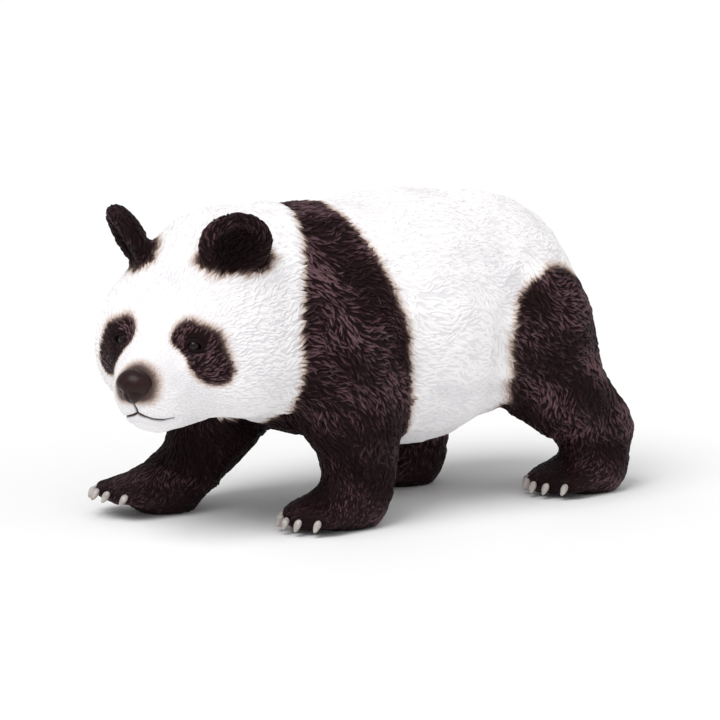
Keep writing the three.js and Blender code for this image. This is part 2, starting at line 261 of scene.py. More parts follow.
# %% Keep the outer shell
for vertex in skin.data.vertices:
    vertex.select = False
top = int(np.argmax(points_of(skin)[:, 2]))
skin.data.vertices[top].select = True
bpy.ops.object.mode_set(mode="EDIT")
bpy.ops.mesh.select_mode(type="VERT")
bpy.ops.mesh.select_linked()
bpy.ops.mesh.select_all(action="INVERT")
bpy.ops.mesh.delete(type="VERT")
bpy.ops.object.mode_set(mode="OBJECT")
print("skin points:", len(skin.data.vertices))

# %% [markdown]
# The next steps move every point of the skin at once, so they are worked out on arrays. They need the skin's
# edges, the mean of each point's neighbours, and the node that each point came from, which is the node of the
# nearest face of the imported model.

# %% Edges, neighbours and nodes
def edges_of(piece):
    """The piece's edges as an array of point pairs."""
    return read(piece.data.edges, "vertices", 2, np.int64)


def neighbour_mean(values, edges):
    """For each point, the mean of its neighbours' values."""
    count = len(values)
    a, b = edges[:, 0], edges[:, 1]
    degree = np.bincount(a, minlength=count) + np.bincount(b, minlength=count)
    columns = values.reshape(count, -1)
    total = np.stack([
        np.bincount(a, weights=column[b], minlength=count) + np.bincount(b, weights=column[a], minlength=count)
        for column in columns.T
    ], axis=1)
    return (total / np.maximum(degree, 1)[:, None]).reshape(values.shape)


def find_nodes(points):
    """The number of the flesh node that each point lies nearest to."""
    return np.array([face_node[cad_tree.find_nearest(Vector(p * MM))[2]] for p in points])


cad_vertices, cad_faces, face_node = [], [], []
for number, node in enumerate(FLESH):
    mesh = frame["nodes"][node].data
    base = len(cad_vertices)
    cad_vertices += [v.co.copy() for v in mesh.vertices]
    cad_faces += [[base + i for i in p.vertices] for p in mesh.polygons]
    face_node += [number] * len(mesh.polygons)
cad_tree = BVHTree.FromPolygons(cad_vertices, cad_faces)
print("faces of the packed model:", len(cad_faces))

# %% [markdown]
# The remesh keeps the flat facets of the solids. They are relaxed by moving each point towards its neighbours and
# then a little back again, which takes out the facets and keeps the thickness of the ears and toes.

# %% Relax the facets
RELAX_ROUNDS = 14
RELAX_STEPS = (0.6, -0.58)


def relax(points, edges, rounds):
    """Smooths the points in place and leaves thin forms their thickness."""
    for _ in range(rounds):
        for step in RELAX_STEPS:
            points += step * (neighbour_mean(points, edges) - points)


def soften(values, edges, rounds):
    """Spreads values along the skin by averaging neighbours."""
    for _ in range(rounds):
        values = neighbour_mean(values, edges)
    return values


points = points_of(skin)
edges = edges_of(skin)
relax(points, edges, RELAX_ROUNDS)
set_points(skin, points)
print("relaxed", len(points), "points")

# %% [markdown]
# Now the skin is drawn in by what it was pushed out, and by the depth of the coat, so that the strokes on top
# reach the true outline. A sharp ledge, such as the rim of the trunk before the thigh, can fold over itself when
# it is drawn in. Such a fold shows as a normal that has turned, so the points round it are smoothed until it is
# gone. Last, the soles are laid flat on the floor again.

# %% Draw the skin in
COAT_DEPTH = 0.22
TURNED = 0.6
FOLD_RINGS = 5
FOLD_ROUNDS = 40
FOLD_STEP = 0.7

overlap = np.array([overlap_of(node) for node in FLESH])[find_nodes(points)]
overlap = soften(overlap, edges, 6)
pushed_out = normals_of(skin)
points -= pushed_out * (overlap + COAT_DEPTH)[:, None]
set_points(skin, points)
folded = ((normals_of(skin) * pushed_out).sum(axis=1) < TURNED).astype(float)
for _ in range(FOLD_RINGS):
    folded = (neighbour_mean(folded, edges) > 0).astype(float)
folded = soften(folded, edges, 4)
for _ in range(FOLD_ROUNDS):
    points += FOLD_STEP * folded[:, None] * (neighbour_mean(points, edges) - points)
relax(points, edges, 2)
sole = fade(points[:, 2], 1.6, 0.2)
points[:, 2] = np.maximum(points[:, 2] - COAT_DEPTH * sole, 0.0)
set_points(skin, points)
print("points smoothed out of a fold:", int((folded > 0).sum()))
print("skin reaches, mm:", points.min(0).round(2), points.max(0).round(2))

# %% [markdown]
# The head looks a little to its left, so its details are easier to place in a frame of its own: x towards its left
# ear, y towards its back and z up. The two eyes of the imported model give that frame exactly. All the places of the
# eyelids, the mouth and the painted patches below are written in it.

# %% The head's own frame
EYE_IN_HEAD = np.array([6.2, -10.6, -2.4])


def middle_of(node):
    """The middle of a node's box in millimetres."""
    low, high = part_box(node)
    return np.array(low + high) / 2 / MM


eye_left, eye_right = middle_of("eye_left"), middle_of("eye_right")
head_x = unit(eye_left - eye_right)
head_y = np.cross([0.0, 0.0, 1.0], head_x)
HEAD_AXES = np.array([head_x, head_y, [0.0, 0.0, 1.0]])
HEAD_MIDDLE = (eye_left + eye_right) / 2 - EYE_IN_HEAD[1] * head_y - [0, 0, EYE_IN_HEAD[2]]


def to_head(points):
    return (points - HEAD_MIDDLE) @ HEAD_AXES.T


def from_head(points):
    return np.asarray(points) @ HEAD_AXES + HEAD_MIDDLE


print("head middle, mm:", HEAD_MIDDLE.round(2), "looks along", (-head_y).round(3))

# %% [markdown]
# The mouth is drawn as a line on a flat sheet before the face, and each of its places is then thrown straight back
# onto the skin. A ray cast does that, and the line is cut fine first, so that it doesn't sink under the round lip.

# %% The line of the mouth
MOUTH_LINE = ((0.0, -12.1), (1.0, -12.6), (2.2, -13.0), (3.4, -13.2), (4.4, -13.0))
LIP_CLEFT = ((0.0, -10.2), (0.0, -11.2), (0.0, -12.1))
CUTS = 6
SHEET_Y = -30.0


def along_path(points, path):
    """Distance to a path of straight stretches, and the share of its length at the nearest place."""
    best = np.full(len(points), 1e9)
    share = np.zeros(len(points))
    lengths = [np.linalg.norm(b - a) for a, b in zip(path, path[1:])]
    done = 0.0
    for a, b, length in zip(path, path[1:], lengths):
        t = np.clip((points - a) @ (b - a) / length**2, 0, 1)
        distance = np.linalg.norm(points - a - t[:, None] * (b - a), axis=1)
        nearer = distance < best
        best = np.where(nearer, distance, best)
        share = np.where(nearer, (done + t * length) / sum(lengths), share)
        done += length
    return best, share


def on_face(path, side=1):
    """The places on the skin straight behind a drawing held in front of the face."""
    tree = BVHTree.FromObject(skin, bpy.context.evaluated_depsgraph_get())
    places = []
    corners = np.arange(len(path))
    steps = np.linspace(0, len(path) - 1, CUTS * (len(path) - 1) + 1)
    for x, z in zip(*(np.interp(steps, corners, axis) for axis in np.transpose(path))):
        start = from_head(np.array([x * side, SHEET_Y, z])) * MM
        places.append(to_head(np.array(tree.ray_cast(Vector(start), Vector(HEAD_AXES[1]))[0]) / MM))
    return places


MOUTH = {side: on_face(MOUTH_LINE, side) for side in (1, -1)}
CLEFT = on_face(LIP_CLEFT)


def mouth_distance(local):
    """Distance to the whole mouth line, with its upright stretch."""
    return np.min([along_path(local, path)[0] for path in (MOUTH[1], MOUTH[-1], CLEFT)], axis=0)


print("places on the mouth line:", sum(len(path) for path in (MOUTH[1], MOUTH[-1], CLEFT)))

# %% [markdown]
# The face needs finer quads than the body: an eyelid is only three tenths of a millimetre thick. The faces round
# the eyes and the mouth are subdivided once or twice, as one would do by selecting them in edit mode.

# %% Finer faces where the face needs them
MIRROR = np.array([-1.0, 1.0, 1.0])


def subdivide_near(piece, distance, reach):
    """Cuts the faces whose points all lie within reach."""
    only(piece)
    near = distance(to_head(points_of(piece))) < reach
    bpy.ops.object.mode_set(mode="EDIT")
    bpy.ops.mesh.select_all(action="DESELECT")
    bpy.ops.object.mode_set(mode="OBJECT")
    corners = read(piece.data.loops, "vertex_index", kind=np.int64)
    starts = read(piece.data.polygons, "loop_start", kind=np.int64)
    chosen = np.logical_and.reduceat(near[corners], starts)
    piece.data.polygons.foreach_set("select", chosen)
    bpy.ops.object.mode_set(mode="EDIT")
    bpy.ops.mesh.select_mode(type="FACE")
    bpy.ops.mesh.subdivide(number_cuts=1, smoothness=0.0)
    bpy.ops.object.mode_set(mode="OBJECT")
    print("cut", int(chosen.sum()), "faces within", reach)


def eye_distance(local):
    """Distance to the middle of the nearer eye."""
    return np.min([np.linalg.norm(local - EYE_IN_HEAD * turn, axis=1) for turn in (1, MIRROR)], axis=0)


def face_distance(local):
    """Distance to the rim of an eye or to the mouth."""
    return np.minimum(eye_distance(local) - 1.4, mouth_distance(local))


subdivide_near(skin, face_distance, 2.4)
subdivide_near(skin, face_distance, 0.9)
skin_edges = edges_of(skin)

# %% [markdown]
# Sculpting and painting both ask which part of the animal a point of the skin lies on. That keeps the chin
# white and the leg behind it black, although they almost touch.

# %% Which node each point of the skin belongs to
points = points_of(skin)
node_of = find_nodes(points)


def belongs(*starts):
    """True for the points of the nodes whose names start so."""
    wanted = [FLESH.index(n) for n in FLESH if n.startswith(starts)]
    return np.isin(node_of, wanted)


print({n: int((node_of == i).sum()) for i, n in enumerate(FLESH)})

# %% [markdown]
# ## Sculpting the body
#
# A few broad forms lie on top of the plain limbs. The ruff of the cheeks stands on the neck with a soft ledge,
# exactly where the white paint ends. Its edge is a list of heights with their places along the body. The wave is a
# few sines with seeded directions, and the ears face along the thin way of their nodes.

# %% Ruff edge, wave and ear hollows
RUFF_EDGE = ((14, -18.2), (22, -19.8), (30, -20.0), (37, -18.3), (43, -16.6), (47, -15.0), (50, -12.8))
RUFF_SLANT = 0.14
EAR_RIM = 4.4
HOLLOW_SLOPE = 2.2


def behind_ruff(points):
    """How far behind the edge of the ruff a point lies; the edge slants, because the head is turned."""
    heights, places = np.transpose(RUFF_EDGE)
    slant = RUFF_SLANT * np.minimum(points[:, 0], 0)
    return points[:, 1] - np.interp(points[:, 2], heights, places) - slant


def wave(points, size, seed):
    """A slow smooth wave through space, from -1 to 1, made from a few sines."""
    rng = np.random.default_rng(seed)
    total = np.zeros(len(points))
    for _ in range(5):
        direction = unit(rng.normal(size=3))
        total += np.sin(points @ direction * (2 * pi / size) * rng.uniform(0.7, 1.4) + rng.uniform(0, 2 * pi))
    return total / 3.2


def inside_ear(points, normals, side):
    """1 in the hollow of an ear, 0 on its rim and back."""
    own = np.array([v.co for v in frame["nodes"]["ear_" + side].data.vertices]) / MM
    front = np.linalg.svd(own - own.mean(axis=0), full_matrices=False)[2][2]
    front *= np.sign(front @ -HEAD_AXES[1])
    offset = points - middle_of("ear_" + side)
    out = np.linalg.norm(offset - (offset @ front)[:, None] * front, axis=1)
    return fade(out, EAR_RIM, EAR_RIM - HOLLOW_SLOPE) * (normals @ front > 0.2) * belongs("ear_" + side)


points = points_of(skin)
print("points behind the ruff:", int((behind_ruff(points) > 0).sum()))

# %% [markdown]
# The ledge of the ruff is a push out before its edge and a push in behind it. Shallow folds run where a leg meets
# the belly, and are found by how evenly the points round a place are shared between the leg and the trunk. The
# slow wave breaks up the smooth sides, like the clumps of a thick coat. All the pushes are added up, softened and
# applied together along the normals, which is what an inflate brush does.

# %% Ruff, folds and clumps
RUFF_LEDGE = 0.42
RUFF_WIDTH = 1.3
FOLD_DEPTH = 0.38
FOLD_ROOM = 12
CLUMP_HEIGHT = 0.16
CLUMP_SIZE = 5.5
EAR_HOLLOW = 0.7
LEGS = ("front_left", "front_right", "hind_left", "hind_right")

normals = normals_of(skin)
past = behind_ruff(points) / RUFF_WIDTH
high_enough = fade(points[:, 2], 12, 15)
ledge = -past * np.exp(0.5 - past**2 / 2) * RUFF_LEDGE * high_enough
push = np.where(belongs("head", "neck", "leg_front_left", "trunk"), ledge, 0.0)
low_enough = fade(points[:, 2], 34, 24)
for leg in LEGS:
    share = soften(belongs("leg_" + leg).astype(float), skin_edges, FOLD_ROOM)
    push -= FOLD_DEPTH * np.exp(-(((share - 0.45) / 0.3) ** 2)) * low_enough * ~belongs("paw", "head")
body = soften(belongs("trunk", "leg", "neck", "tail").astype(float), skin_edges, FOLD_ROOM)
push += CLUMP_HEIGHT * body * wave(points, CLUMP_SIZE, 2) * fade(points[:, 2], 2, 6)
for side in ("left", "right"):
    push -= EAR_HOLLOW * inside_ear(points, normals, side)
push = soften(push, skin_edges, 2)
set_points(skin, points + normals * push[:, None])
print("body pushed from", push.min().round(2), "to", push.max().round(2), "mm")

# %% [markdown]
# ## Sculpting the face
#
# The eyes of this toy are small glossy balls that sit between soft lids, inside the dark patches. Each lid is a
# low ring raised round an almond opening. The mouth is a fine groove that drops from the nose and runs back along
# the upper lip, and the lower lip swells under it. All of it is made by moving the skin's points along their
# normals, by an amount that depends on where they are in the head's frame.

# %% Eyelids, mouth and chin
GAZE = unit(np.array([0.60, -0.79, 0.10]))
EYE_OPENING = (0.92, 0.56)
LID_HEIGHT = 0.36
LID_WIDTH = 0.32
LOWER_LID = 0.7
LID_DROOP = 0.12
UPPER_FOLD, LOWER_FOLD = 0.16, 0.10
EYE_HOLE = 0.75
MOUTH_DEPTH = 0.45
MOUTH_WIDTH = 0.24
LIP_BELOW = np.array([0, 0.3, -1.1])
LIP_SWELL = 0.22
LIP_WIDTH = 0.8
UNDER_NOSE_AT = (0, -17.5, -12.2)
UNDER_NOSE_SIZE = (2.6, 4.0, 1.7)
UNDER_NOSE_DEPTH = 0.7

points = points_of(skin)
normals = normals_of(skin)
local = to_head(points)
push = np.zeros(len(points))
for side in (1, -1):
    turn = np.array([side, 1, 1])
    gaze = GAZE * turn
    across = unit(np.cross([0, 0, 1.0], gaze))
    upward = np.cross(gaze, across)
    offset = local - EYE_IN_HEAD * turn
    ahead = offset @ gaze
    # the almond: its outer corner hangs a little lower than its inner one
    u = offset @ across * side
    v = offset @ upward + LID_DROOP * u
    ring = np.hypot(u / EYE_OPENING[0], v / EYE_OPENING[1])
    here = fade(np.linalg.norm(offset, axis=1), 3.2, 2.2) * (ahead > 0)
    lid = np.exp(-(((ring - 1.25) / LID_WIDTH) ** 2)) * np.where(v > 0, LID_HEIGHT, LID_HEIGHT * LOWER_LID)
    fold = np.exp(-(((ring - 1.95) / 0.22) ** 2)) * np.where(v > 0, UPPER_FOLD, LOWER_FOLD)
    push += here * (lid - fold - EYE_HOLE * fade(ring, 1.08, 0.82))

groove = mouth_distance(local)
front = fade(local[:, 1], -10, -12)
push -= front * MOUTH_DEPTH * np.exp(-((groove / MOUTH_WIDTH) ** 2))
for side in (1, -1):
    lip, share = along_path(local, [place + LIP_BELOW for place in MOUTH[side]])
    push += front * LIP_SWELL * np.exp(-((lip / LIP_WIDTH) ** 2)) * fade(share, 1.0, 0.6)
points += normals * push[:, None]
# the lip falls back under the nose
under = (local - UNDER_NOSE_AT) / UNDER_NOSE_SIZE
points += UNDER_NOSE_DEPTH * np.exp(-np.sum(under**2, axis=1))[:, None] * HEAD_AXES[1]
set_points(skin, points)
print("pushed", int((np.abs(push) > 0.02).sum()), "points of the face")

# %% [markdown]
# ## Where the paint goes
#
# Skin and coat share one set of markings, so they are worked out once, on the skin's points, and every stroke of
# the coat later looks up the value under it. Each dark area is a distance, negative inside, turned into a value
# from 0 to 1 over the width of its airbrushed edge. The edges of the shoulder band and of the thigh are lists of
# heights with their places along the body, and the haunch is closed above by an ellipsoid.

# %% Edges of the markings
BAND_EDGE = ((12, 2.8), (18, 0.3), (25, -0.9), (30, -0.9), (36, -2.7), (41, -4.3), (46, -5.8), (49, -6.7))
THIGH_EDGE = ((14, 21.8), (18, 20.8), (22, 19.4), (27, 18.4), (31, 18.5), (34, 19.8), (36, 22.6), (37.8, 27.0))
HAUNCH = {"left": np.array([15.9, 28.4, 27.2]), "right": np.array([-15.6, 22.9, 27.2])}
HAUNCH_RADII = (10.6, 14.5, 11.0)
KNEE_HEIGHT = 15.5
KNEE_RISE = 7.5
RUFF_AIRBRUSH = (-0.7, 1.2)
BAND_AIRBRUSH = (0.8, -1.1)
HAUNCH_AIRBRUSH = (1.1, -1.5)
PATCH = [(5.4, -0.9, 2.2), (7.8, -2.4, 2.75), (9.4, -5.8, 2.4)]
NOSE_SIZE = np.array([2.95, 2.3, 2.8])
NOSE_AT = np.array([0.0, -17.4, -7.8])


def capsule_2d(x, z, path):
    """Distance to a chain of discs in a plane."""
    best = np.full(len(x), 1e9)
    for (ax, az, ar), (bx, bz, br) in zip(path, path[1:]):
        length2 = (bx - ax) ** 2 + (bz - az) ** 2
        t = np.clip(((x - ax) * (bx - ax) + (z - az) * (bz - az)) / length2, 0, 1)
        best = np.minimum(best, np.hypot(x - ax - t * (bx - ax), z - az - t * (bz - az)) - (ar + t * (br - ar)))
    return best


def distance_to(mask):
    """Distance from every point to the nearest one inside the mask."""
    tree = tree_of(points[mask])
    return np.array([tree.find(p)[2] for p in points])


points = points_of(skin)
x, y, z = points.T
local = to_head(points)
side_x = np.abs(local[:, 0])
heights, places = np.transpose(BAND_EDGE)
before_band = y - np.interp(z, heights, places)
print("points before the back edge of the band:", int((before_band < 0).sum()))

# %% [markdown]
# The body is white unless something darkens it. The band crosses the trunk and the neck up to the ruff, the legs
# and paws are dark throughout, and each haunch joins its hind leg. What is darker wins where two areas meet.

# %% Dark areas of the body
ruff = fade(behind_ruff(points), *RUFF_AIRBRUSH)
band = fade(before_band, *BAND_AIRBRUSH)
dark = np.where(belongs("trunk"), band, 0.0)
dark = np.where(belongs("neck"), band * ruff, dark)
dark = np.where(belongs("leg_front", "paw"), 1.0, dark)
dark = np.where(belongs("head") & (z > 12) & (local[:, 1] > -6), ruff, dark)
for side, sign in (("left", 1), ("right", -1)):
    heights, places = np.transpose(THIGH_EDGE)
    ahead = np.interp(z, heights, places) + HAUNCH[side][1] - HAUNCH["left"][1] - y
    gap = (points - HAUNCH[side]) / HAUNCH_RADII
    gap[:, 1:] = np.maximum(gap[:, 1:], 0)
    haunch = np.maximum(ahead, (np.linalg.norm(gap, axis=1) - 1) * HAUNCH_RADII[2])
    # behind, the dark of the leg runs further up the thigh, but not between the legs
    knee = KNEE_HEIGHT + KNEE_RISE * fade(y - HAUNCH[side][1], -5, 4) * fade(np.abs(x), 4, 8)
    low = belongs("leg_hind_" + side) | (y > HAUNCH[side][1])
    haunch = np.where(low, np.minimum(haunch, z - knee), haunch)
    near_it = belongs("trunk", "leg_hind_" + side) & (x * sign > 0)
    dark = np.where(near_it, np.maximum(dark, fade(haunch, *HAUNCH_AIRBRUSH)), dark)
print("dark share of the body:", round(float(dark.mean()), 3))

# %% [markdown]
# On the head the eye patches are chains of discs drawn on a sheet before the face. A soft tint runs round the
# nose, and the white fur darkens in an uneven line at the foot of each ear. A thin line is painted in the mouth.

# %% Dark areas of the head
PATCH_AIRBRUSH = (1.0, -0.9)
NARROW_RIM, WIDER_RIM = 0.35, 0.75
NOSE_TINT = 0.72
NOSE_AIRBRUSH = (1.9, 0.0)
EAR_WAVER = 0.6
EAR_AIRBRUSH = (1.9, 0.3)
MOUTH_LINE_EDGE = (0.28, 0.10)

# the brown rim of the patches is wider above and behind them, as an airbrush leaves it
patch = capsule_2d(side_x, local[:, 2], PATCH)
halo = NARROW_RIM + WIDER_RIM * fade(0.5 * (side_x - 8) + 0.8 * (local[:, 2] + 2.5), -1.5, 2.5)
on_patch = fade(patch / halo, *PATCH_AIRBRUSH) * fade(local[:, 1], -3, -6)
nose_gap = (np.linalg.norm((local - NOSE_AT) / NOSE_SIZE, axis=1) - 1) * 2.8
on_nose = NOSE_TINT * fade(nose_gap, *NOSE_AIRBRUSH) * fade(local[:, 2], -11.2, -9.6)
ear_gap = distance_to(belongs("ear"))
on_ear = fade(ear_gap + EAR_WAVER * wave(points, 1.8, 9), *EAR_AIRBRUSH)
dark = np.where(belongs("head", "neck"), np.max([dark, on_patch, on_nose, on_ear], axis=0), dark)
dark = np.where(belongs("ear"), 1.0, dark)
for _ in range(3):
    dark += 0.5 * (neighbour_mean(dark, skin_edges) - dark)
line = fade(groove, *MOUTH_LINE_EDGE) * fade(local[:, 1], -10, -12)
print("dark share of the skin:", round(float(dark.mean()), 3))

# %% [markdown]
# ## The lie of the coat
#
# Fur has a direction everywhere: away from the nose over the head, back and down over the body, down the legs, and
# out to the rim of the ears. Each node gets its own simple rule, and the rules are then blended over the skin by
# averaging neighbours, as a sculptor combs across a join. A slow wave turns the direction a little, which
# gives the curved strokes of the relief.

# %% Comb the skin
LIE_OF_TRUNK = (0.0, 1.0, -0.25)
LIE = {"neck": (0.0, 0.8, -0.5), "leg": (0.0, 0.35, -1.0), "paw": (0.0, -0.7, -0.7), "tail": (0.0, 0.5, -1.0)}
LIE_OF_THIGH = (0.0, 0.9, -0.65)
THIGH_HEIGHT = 21
COMB_ROUNDS = 24
SLOW_TURN, QUICK_TURN, HEAD_TURNS = radians(30), radians(14), 0.45

normals = normals_of(skin)
lie = np.tile(LIE_OF_TRUNK, (len(points), 1))
for start, way in LIE.items():
    lie[belongs(start)] = way
lie[belongs("leg") & (points[:, 2] > THIGH_HEIGHT)] = LIE_OF_THIGH
from_nose = unit(local - [0.0, -19.0, -9.0]) + [0, 0.15, -0.1]
lie = np.where(belongs("head")[:, None], from_nose @ HEAD_AXES, lie)
for side in ("left", "right"):
    root = middle_of("ear_" + side) - [0, 0, 4.5]
    lie = np.where(belongs("ear_" + side)[:, None], unit(points - root), lie)
for _ in range(COMB_ROUNDS):
    lie -= np.sum(lie * normals, axis=1, keepdims=True) * normals
    lie = unit(lie)
    lie = neighbour_mean(lie, skin_edges)
lie = unit(lie - np.sum(lie * normals, axis=1, keepdims=True) * normals)
turn = SLOW_TURN * wave(points, 11, 3) + QUICK_TURN * wave(points, 4.5, 4)
turn = turn * np.where(belongs("head"), HEAD_TURNS, 1.0)
lie = lie * np.cos(turn)[:, None] + np.cross(normals, lie) * np.sin(turn)[:, None]
curl = wave(points, 8, 6)
print("combed", len(lie), "points")

# %% [markdown]
# ## An unwrap for the coat
#
# Each stroke of the coat needs a small patch of its own on a flat map, placed where its root sits, so that a
# baked picture keeps its colours. The map is an unwrap of the skin's own shape: a light copy of the skin is cut
# into islands by Smart UV Project, and every root looks up its place in it.

# %% A coarse unwrapped copy of the skin
COARSE_SHARE = 0.05

coarse = new_object("coarse", skin.data.copy())
apply_modifier(coarse, "DECIMATE", ratio=COARSE_SHARE)
bpy.ops.object.mode_set(mode="EDIT")
bpy.ops.mesh.select_all(action="SELECT")
bpy.ops.uv.smart_project(angle_limit=radians(66), island_margin=0.01)
bpy.ops.object.mode_set(mode="OBJECT")
coarse_tree = BVHTree.FromPolygons(
    [v.co.copy() for v in coarse.data.vertices], [list(p.vertices) for p in coarse.data.polygons]
)
coarse_uv = coarse.data.uv_layers.active.data


def place_on_map(point):
    """The unwrap's place under a point, from the nearest triangle of the light copy."""
    hit, _, number, _ = coarse_tree.find_nearest(Vector(point * MM))
    face = coarse.data.polygons[number]
    a, b, c = (np.array(coarse.data.vertices[i].co) for i in face.vertices[:3])
    ua, ub, uc = (np.array(coarse_uv[i].uv) for i in list(face.loop_indices)[:3])
    share, *_ = np.linalg.lstsq(np.array([b - a, c - a]).T, np.array(hit) - a, rcond=None)
    return ua + share[0] * (ub - ua) + share[1] * (uc - ua)


print("coarse faces:", len(coarse.data.polygons))

# %% [markdown]
# ## The coat
#
# On the toy the fur is a relief of short, slightly curved strokes that overlap like shingles. Particle hair would
# be lost when the model is exported, and thirty thousand pieces shaped one by one would take a day, so the strokes
# of each part are built as one joined mesh from arrays. Each stroke is a closed sliver: it starts under the skin,
# swells, and runs out in a point that stands a few tenths of a millimetre proud. Its length, width and height come
# from where it grows: bold on the shoulders, fine and low on the face and feet.

# %% Where the strokes grow and how large they are
LENGTH = {"trunk": 2.35, "neck": 2.3, "tail": 2.6, "leg": 2.15, "paw": 1.3, "ear": 1.9, "head": 0.7}
HEIGHT = {"trunk": 0.24, "neck": 0.24, "tail": 0.24, "leg": 0.24, "paw": 0.10, "ear": 0.26, "head": 0.04}
LOWER_ON_WHITE = 0.6
MUZZLE_AT = (0, -16, -8)
LONGER_BEHIND, LONGER_ON_DARK = 1.4, 0.5
HIGHER_BEHIND, HIGHER_ON_DARK = 0.13, 0.03
LOCK_LENGTH, LOCK_HEIGHT = 0.8, 0.12

length_at = np.empty(len(points))
height_at = np.empty(len(points))
for start in LENGTH:
    length_at[belongs(start)] = LENGTH[start]
    height_at[belongs(start)] = HEIGHT[start]
white = 1 - dark
height_at = height_at * (1 - LOWER_ON_WHITE * white)
muzzle = np.linalg.norm((local - MUZZLE_AT) / [1, 1.2, 1], axis=1)
head_length = LENGTH["head"] + LONGER_BEHIND * fade(muzzle, 6, 22) + LONGER_ON_DARK * dark
head_height = HEIGHT["head"] + HIGHER_BEHIND * fade(muzzle, 6, 19) + HIGHER_ON_DARK * dark
length_at = np.where(belongs("head"), head_length, length_at)
height_at = np.where(belongs("head"), head_height, height_at)
length_at = soften(length_at, skin_edges, 10)
height_at = soften(height_at, skin_edges, 10)

# longer locks hang over the edge of the ruff
at_ruff = np.exp(-(((behind_ruff(points) + 0.8) / 1.6) ** 2)) * belongs("head", "neck")
at_ruff = at_ruff * fade(points[:, 2], 12, 16)
length_at += LOCK_LENGTH * at_ruff
height_at += LOCK_HEIGHT * at_ruff
print("stroke length, mm:", length_at.min().round(2), length_at.max().round(2))

# %% [markdown]
# The lighter paint of the dry brush is strongest on the shoulders and less on the ears. Towards the bottom and on
# the far leg it is turned down further, which is painted shade. Strokes keep clear of the eyes, the mouth, the nose,
# the claws and the soles.

# %% Dry brush, painted shade and bare places
BRUSH_SHADED_BELOW, BRUSH_LIT_ABOVE = 0.65, 0.35
BRUSH_WAVER = 0.45
BRUSHED_AND_SHADED = {"head": 0.9, "leg_front_right": 0.5, "leg_hind": 0.95, "paw": 0.75, "ear": 0.8}
# less dry brush towards the bottom and on the far leg: this is painted shade
brush_and_shade = BRUSH_SHADED_BELOW + BRUSH_LIT_ABOVE * fade(points[:, 2], 14, 26)
for start, strength in BRUSHED_AND_SHADED.items():
    brush_and_shade[belongs(start)] = strength
brush_and_shade = soften(brush_and_shade, skin_edges, 12)
brush_and_shade *= 1 + BRUSH_WAVER * wave(points, 9, 12)

EYE_ROOM, MOUTH_ROOM, NOSE_ROOM, CLAW_ROOM = 1.8, 1.0, 0.5, 1.3
SOLE_HEIGHT = 0.7
claw_middles = np.array([middle_of(n) for n in POCKETED if n.startswith("claw")])
near_claw = np.min([np.linalg.norm(points - middle, axis=1) for middle in claw_middles], axis=0) < CLAW_ROOM
bare = (eye_distance(local) < EYE_ROOM) | (groove < MOUTH_ROOM) | (nose_gap < NOSE_ROOM)
bare = bare | near_claw | (points[:, 2] < SOLE_HEIGHT)
# the dry brush is turned down in the ear hollows, as painted shade in the recess
ear_hollow_shade = sum(inside_ear(points, normals, side) for side in ("left", "right"))
print("bare points:", int(bare.sum()))

# %% [markdown]
# The roots are thrown at the skin like seed, more of them where the strokes are short. A root that falls too near
# an earlier one is dropped, which spreads the strokes evenly; a grid of small cells keeps that test quick.

# %% Scatter the roots
TRIES = 110000
SPACING = 0.26
CELL = 0.9


def scatter(tries, seed):
    """Roots spread evenly over the skin, closer together where the strokes are short."""
    rng = np.random.default_rng(seed)
    mesh = skin.data
    mesh.calc_loop_triangles()
    corners = read(mesh.loop_triangles, "vertices", 3, np.int64)
    a, b, c = (points[corners[:, i]] for i in range(3))
    area = np.linalg.norm(np.cross(b - a, c - a), axis=1) / 2
    density = area / length_at[corners[:, 0]] ** 1.4
    chosen = rng.choice(len(corners), size=tries, p=density / density.sum())
    s, t = rng.random(tries), rng.random(tries)
    s, t = np.where(s + t > 1, 1 - s, s), np.where(s + t > 1, 1 - t, t)
    spots = a[chosen] + s[:, None] * (b - a)[chosen] + t[:, None] * (c - a)[chosen]
    owner = corners[chosen, 0]
    cells, kept = {}, []
    for i in range(tries):
        if bare[owner[i]]:
            continue
        gap = SPACING * length_at[owner[i]] ** 0.7
        cell = tuple((spots[i] // CELL).astype(int))
        near = [
            j
            for dx in (-1, 0, 1)
            for dy in (-1, 0, 1)
            for dz in (-1, 0, 1)
            for j in cells.get((cell[0] + dx, cell[1] + dy, cell[2] + dz), ())
        ]
        if all(np.dot(spots[i] - spots[j], spots[i] - spots[j]) > gap * gap for j in near):
            cells.setdefault(cell, []).append(i)
            kept.append(i)
    return spots[kept], owner[kept]


roots, owner = scatter(TRIES, 11)
print("roots:", len(roots))

# %% [markdown]
# A stroke has six stations from root to point. At each inner station four points make a small arch: two low ones
# that sink into the skin and carry the painted shade of the groove, and two high ones that carry the dry brush and a
# painted highlight. Every station is laid on the nearest place of the skin, so a stroke follows the curve of the
# body under it.

# %% One stroke and how it is laid
STATIONS = np.array([0.0, 0.18, 0.42, 0.68, 0.88, 1.0])
WIDTHS = np.array([0.0, 0.62, 1.0, 0.86, 0.48, 0.0])
RISES = np.array([-0.6, 0.35, 0.85, 1.0, 0.75, 0.2])
SIDES = ((-1.0, -1), (-0.42, 1), (0.42, 1), (1.0, -1))
SUNK = 0.14

skin_tree = BVHTree.FromObject(skin, bpy.context.evaluated_depsgraph_get())


def lay(path):
    """The nearest places on the skin, and its normals there."""
    landed, facing = np.empty_like(path), np.empty_like(path)
    for i, p in enumerate(path):
        hit, hit_normal, _, _ = skin_tree.find_nearest(Vector(p * MM))
        landed[i], facing[i] = hit, hit_normal
    return landed / MM, facing


def soften_stations(facing):
    """Averages the normals of each station with those of the ones before and after it."""
    last = len(facing) - 1
    return [unit(facing[max(i - 1, 0)] + facing[i] + facing[min(i + 1, last)]) for i in range(len(facing))]


